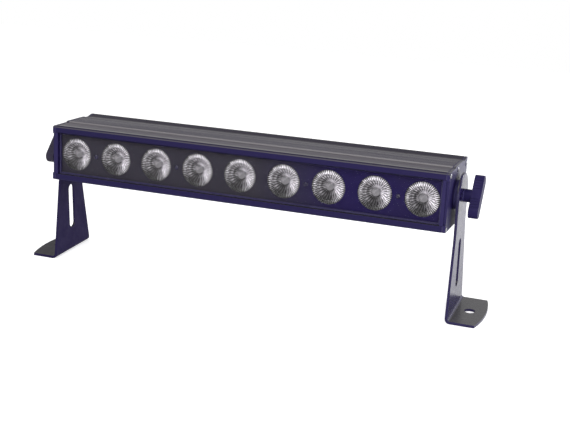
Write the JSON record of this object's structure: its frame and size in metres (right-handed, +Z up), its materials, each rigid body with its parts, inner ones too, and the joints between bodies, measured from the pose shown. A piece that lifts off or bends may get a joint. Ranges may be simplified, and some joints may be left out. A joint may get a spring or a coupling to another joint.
{
  "type": "outdoor wall washer light",
  "caption": "Bar-shaped outdoor wall washer light: round fluted optics in a finned extruded housing that tilts between slotted legs held by clamping knobs.",
  "frame": {"origin": "on the surface the feet stand on, midway between the two foot holes and straight under the pivot axis", "axes": "+X along the bar and the pivot axis, +Y towards the rear, away from the optics, +Z up out of the surface"},
  "size_m": [0.5902, 0.1072, 0.1778],
  "materials": {
    "housing_coat": "grey anodised, satin",
    "end_cap_coat": "grey powder coat, satin",
    "leg_coat": "grey powder coat, satin",
    "knob_plastic": "dark moulded plastic",
    "zinc_steel": "zinc plated",
    "dark_steel": "blackened",
    "mask_coat": "dark matt coat",
    "clear_cover": "clear tempered glass",
    "lens_clear": "clear moulded, fluted front",
    "seal_rubber": "moulded rubber",
    "disc_plastic": "moulded plastic",
    "bush_brass": "turned",
    "tray_plastic": "moulded plastic",
    "board_laminate": "white solder mask",
    "emitter_resin": "yellow resin dome",
    "driver_case": "folded case, satin",
    "component_plastic": "moulded",
    "gland_nylon": "moulded nylon",
    "lead_sheath": "extruded sheath"
  },
  "bodies": {
    "legs": {"left_bracket": "leg_coat", "right_bracket": "leg_coat"},
    "head": {"board_screws": "zinc_steel", "board_standoffs": "gland_nylon", "breather_vent": "gland_nylon", "control_board": "board_laminate", "control_parts": "component_plastic", "driver": "driver_case", "driver_screws": "zinc_steel", "front_panel": "mask_coat", "gland_body": "gland_nylon", "gland_locknut": "zinc_steel", "gland_nut": "gland_nylon", "gland_seal": "seal_rubber", "glass_cover": "clear_cover", "glass_seal": "seal_rubber", "housing": "housing_coat", "led_board": "board_laminate", "led_emitters": "emitter_resin", "led_lead": "lead_sheath", "left_end_cap": "end_cap_coat", "left_end_gasket": "seal_rubber", "left_end_screws": "dark_steel", "left_friction_disc": "disc_plastic", "left_pivot_bush": "bush_brass", "lens_1": "lens_clear", "lens_2": "lens_clear", "lens_3": "lens_clear", "lens_4": "lens_clear", "lens_5": "lens_clear", "lens_6": "lens_clear", "lens_7": "lens_clear", "lens_8": "lens_clear", "lens_9": "lens_clear", "lens_tray": "tray_plastic", "panel_screws": "dark_steel", "right_end_cap": "end_cap_coat", "right_end_gasket": "seal_rubber", "right_end_screws": "dark_steel", "right_friction_disc": "disc_plastic", "right_pivot_bush": "bush_brass", "supply_lead": "lead_sheath", "vent_locknut": "zinc_steel"},
    "left_clamp": {"left_knob": "knob_plastic", "left_stud": "zinc_steel", "left_washer": "disc_plastic"},
    "right_clamp": {"right_knob": "knob_plastic", "right_stud": "zinc_steel", "right_washer": "disc_plastic"}
  },
  "joints": [
    {"name": "head_tilt", "type": "hinge", "parent": "legs", "child": "head", "pos_m": [0, 0, 0.142], "axis": [1, 0, 0], "continuous": true},
    {"name": "left_knob_turn", "type": "hinge", "parent": "head", "child": "left_clamp", "pos_m": [-0.2644, 0, 0.142], "axis": [1, 0, 0], "continuous": true},
    {"name": "right_knob_turn", "type": "hinge", "parent": "head", "child": "right_clamp", "pos_m": [0.2644, 0, 0.142], "axis": [1, 0, 0], "continuous": true}
  ]
}
